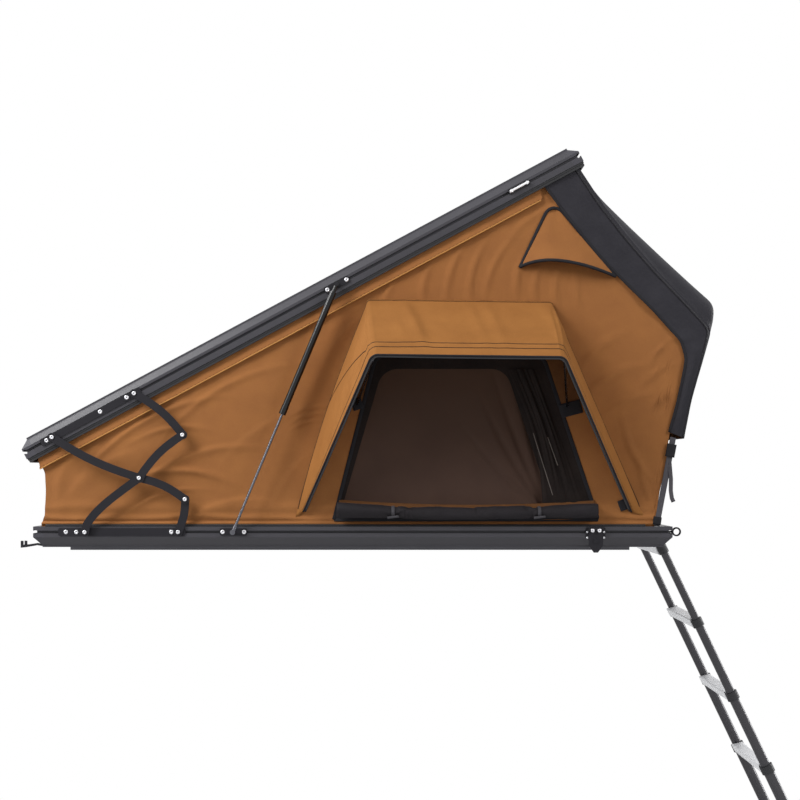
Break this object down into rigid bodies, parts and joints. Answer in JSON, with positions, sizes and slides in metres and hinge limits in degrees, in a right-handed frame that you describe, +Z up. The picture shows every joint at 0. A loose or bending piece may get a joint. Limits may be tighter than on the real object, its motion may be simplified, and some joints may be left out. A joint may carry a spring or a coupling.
{
  "type": "hard shell roof top tent",
  "caption": "Wedge-shaped roof top tent: framed base and tilting lid on crossed hinge bars and gas struts, fabric walls, door hoods, rear flysheet and telescopic ladder.",
  "frame": {"origin": "centre of the four mounting slots in the undersides of the two mounting rails, on the rack plane", "axes": "+X towards the ladder end, +Y to the side away from the camera, +Z up"},
  "size_m": [3.2058, 1.9952, 3.3078],
  "materials": {
    "board": "matte",
    "rail_alloy": "satin",
    "corner_alloy": "satin",
    "rack_alloy": "satin",
    "quilt": "matte",
    "black_steel": "satin",
    "rivet_steel": "satin",
    "seal_rubber": "matte",
    "brown_canvas": "matte",
    "door_mesh": "matte",
    "dark_cloth": "matte",
    "fly_cloth": "matte",
    "webbing": "matte",
    "bow_alloy": "satin",
    "spring_rod": "satin",
    "lid_skin": "satin",
    "keeper_steel": "gloss",
    "barrel_black": "gloss",
    "rod_steel": "polished",
    "tube_alloy": "satin",
    "step_alloy": "satin",
    "foot_rubber": "matte"
  },
  "bodies": {
    "base": {"base_floor": "board", "base_side_rails": "rail_alloy", "base_end_rails": "rail_alloy", "base_corners": "corner_alloy", "mounting_rails": "rack_alloy", "mattress": "quilt", "base_hinge_plates": "black_steel", "base_strut_studs": "black_steel", "base_rivets": "rivet_steel", "latch_plates": "black_steel", "eye_bolts": "black_steel", "front_hooks": "black_steel", "ladder_brackets": "black_steel", "bow_brackets": "black_steel", "side_walls": "brown_canvas", "front_wall": "brown_canvas", "door_meshes": "door_mesh", "door_rolls": "dark_cloth", "window_flaps": "brown_canvas", "fly_straps": "webbing"},
    "lower_bars": {"lower_arms": "black_steel"},
    "upper_bars": {"upper_arms": "black_steel"},
    "lid": {"lid_panel": "lid_skin", "lid_side_rails": "rail_alloy", "lid_end_rails": "rail_alloy", "lid_corners": "corner_alloy", "lid_seal": "seal_rubber", "lid_hinge_plates": "black_steel", "lid_strut_studs": "black_steel", "lid_rivets": "rivet_steel", "latch_keepers": "keeper_steel"},
    "base_links": {"base_links": "black_steel"},
    "lid_links": {"lid_links": "black_steel"},
    "strut_barrels": {"strut_barrels": "barrel_black"},
    "strut_rods": {"strut_rods": "rod_steel"},
    "rear_bow": {"rear_bow": "bow_alloy", "rear_wall": "brown_canvas", "flysheet": "fly_cloth"},
    "awning_left": {"awning_left": "brown_canvas", "awning_hoop_left": "spring_rod"},
    "awning_right": {"awning_right": "brown_canvas", "awning_hoop_right": "spring_rod"},
    "latch_left": {"latch_lever_left": "black_steel"},
    "latch_right": {"latch_lever_right": "black_steel"},
    "ladder_1": {"ladder_rails_1": "tube_alloy", "ladder_step_1": "step_alloy"},
    "ladder_2": {"ladder_rails_2": "tube_alloy", "ladder_step_2": "step_alloy"},
    "ladder_3": {"ladder_rails_3": "tube_alloy", "ladder_step_3": "step_alloy"},
    "ladder_4": {"ladder_rails_4": "tube_alloy", "ladder_step_4": "step_alloy"},
    "ladder_5": {"ladder_rails_5": "tube_alloy", "ladder_step_5": "step_alloy"},
    "ladder_6": {"ladder_rails_6": "tube_alloy", "ladder_step_6": "step_alloy"},
    "ladder_7": {"ladder_rails_7": "tube_alloy", "ladder_step_7": "step_alloy", "ladder_feet": "foot_rubber"}
  },
  "joints": [
    {"name": "lid_lift", "type": "hinge", "parent": "base", "child": "lower_bars", "pos_m": [-0.897, 0, 0.077], "axis": [0, 1, 0], "range_deg": [0, 40.04], "deforming": ["side_walls", "front_wall", "door_meshes", "door_rolls", "window_flaps", "fly_straps", "rear_bow", "rear_wall", "flysheet", "awning_left", "awning_right", "awning_hoop_left", "awning_hoop_right"]},
    {"name": "bar_cross", "type": "hinge", "parent": "lower_bars", "child": "upper_bars", "pos_m": [-0.71497, 0, 0.25842], "axis": [0, -1, 0], "range_deg": [0, 58.81]},
    {"name": "lid_turn", "type": "hinge", "parent": "upper_bars", "child": "lid", "pos_m": [-1.00764, 0, 0.39508], "axis": [0, 1, 0], "range_deg": [0, 46.97]},
    {"name": "base_link_turn", "type": "hinge", "parent": "base", "child": "base_links", "pos_m": [-0.586, 0, 0.077], "axis": [0, 1, 0], "range_deg": [0, 76.1]},
    {"name": "lid_link_turn", "type": "hinge", "parent": "lid", "child": "lid_links", "pos_m": [-0.73355, 0, 0.54204], "axis": [0, -1, 0], "range_deg": [0, 63.83]},
    {"name": "strut_swing", "type": "hinge", "parent": "lid", "child": "strut_barrels", "pos_m": [-0.05318, 0, 0.90685], "axis": [0, 1, 0], "range_deg": [0, 32.83]},
    {"name": "strut_slide", "type": "slide", "parent": "strut_barrels", "child": "strut_rods", "axis": [0.3866, 0, 0.9223], "range_m": [0, 0.37471]},
    {"name": "bow_fold", "type": "hinge", "parent": "base", "child": "rear_bow", "pos_m": [0.93, 0, 0.108], "axis": [0, -1, 0], "range_deg": [0, 111.9]},
    {"name": "hood_fold_left", "type": "hinge", "parent": "base", "child": "awning_left", "pos_m": [0.386, -0.66, 0.12], "axis": [-1, 0, 0], "range_deg": [0, 119.5]},
    {"name": "hood_fold_right", "type": "hinge", "parent": "base", "child": "awning_right", "pos_m": [0.386, 0.66, 0.12], "axis": [1, 0, 0], "range_deg": [0, 119.5]},
    {"name": "latch_left", "type": "hinge", "parent": "base", "child": "latch_left", "pos_m": [0.815, -0.735, 0.087], "axis": [-1, 0, 0], "range_deg": [0, 150]},
    {"name": "latch_right", "type": "hinge", "parent": "base", "child": "latch_right", "pos_m": [0.815, 0.735, 0.087], "axis": [1, 0, 0], "range_deg": [0, 150]},
    {"name": "ladder_tilt", "type": "hinge", "parent": "base", "child": "ladder_1", "pos_m": [1.119, 0, 0.027], "axis": [0, -1, 0], "range_deg": [0, 60]},
    {"name": "ladder_slide_2", "type": "slide", "parent": "ladder_1", "child": "ladder_2", "axis": [-0.4305, 0, 0.9026], "range_m": [0, 0.255]},
    {"name": "ladder_slide_3", "type": "slide", "parent": "ladder_2", "child": "ladder_3", "axis": [-0.4305, 0, 0.9026], "range_m": [0, 0.255]},
    {"name": "ladder_slide_4", "type": "slide", "parent": "ladder_3", "child": "ladder_4", "axis": [-0.4305, 0, 0.9026], "range_m": [0, 0.255]},
    {"name": "ladder_slide_5", "type": "slide", "parent": "ladder_4", "child": "ladder_5", "axis": [-0.4305, 0, 0.9026], "range_m": [0, 0.255]},
    {"name": "ladder_slide_6", "type": "slide", "parent": "ladder_5", "child": "ladder_6", "axis": [-0.4305, 0, 0.9026], "range_m": [0, 0.255]},
    {"name": "ladder_slide_7", "type": "slide", "parent": "ladder_6", "child": "ladder_7", "axis": [-0.4305, 0, 0.9026], "range_m": [0, 0.255]}
  ],
  "couplings": [
    {"joint": "bar_cross", "follows": "lid_lift", "ratio": 1.4688},
    {"joint": "lid_turn", "follows": "lid_lift", "ratio": 1.1731},
    {"joint": "base_link_turn", "follows": "lid_lift", "ratio": 1.9006},
    {"joint": "lid_link_turn", "follows": "lid_lift", "ratio": 1.594},
    {"joint": "strut_swing", "follows": "lid_lift", "ratio": 0.81987},
    {"joint": "strut_slide", "follows": "lid_lift", "m_per_rad": 0.53616},
    {"joint": "bow_fold", "follows": "lid_lift", "ratio": 2.7947},
    {"joint": "hood_fold_left", "follows": "lid_lift", "ratio": 2.9845},
    {"joint": "hood_fold_right", "follows": "lid_lift", "ratio": 2.9845}
  ]
}
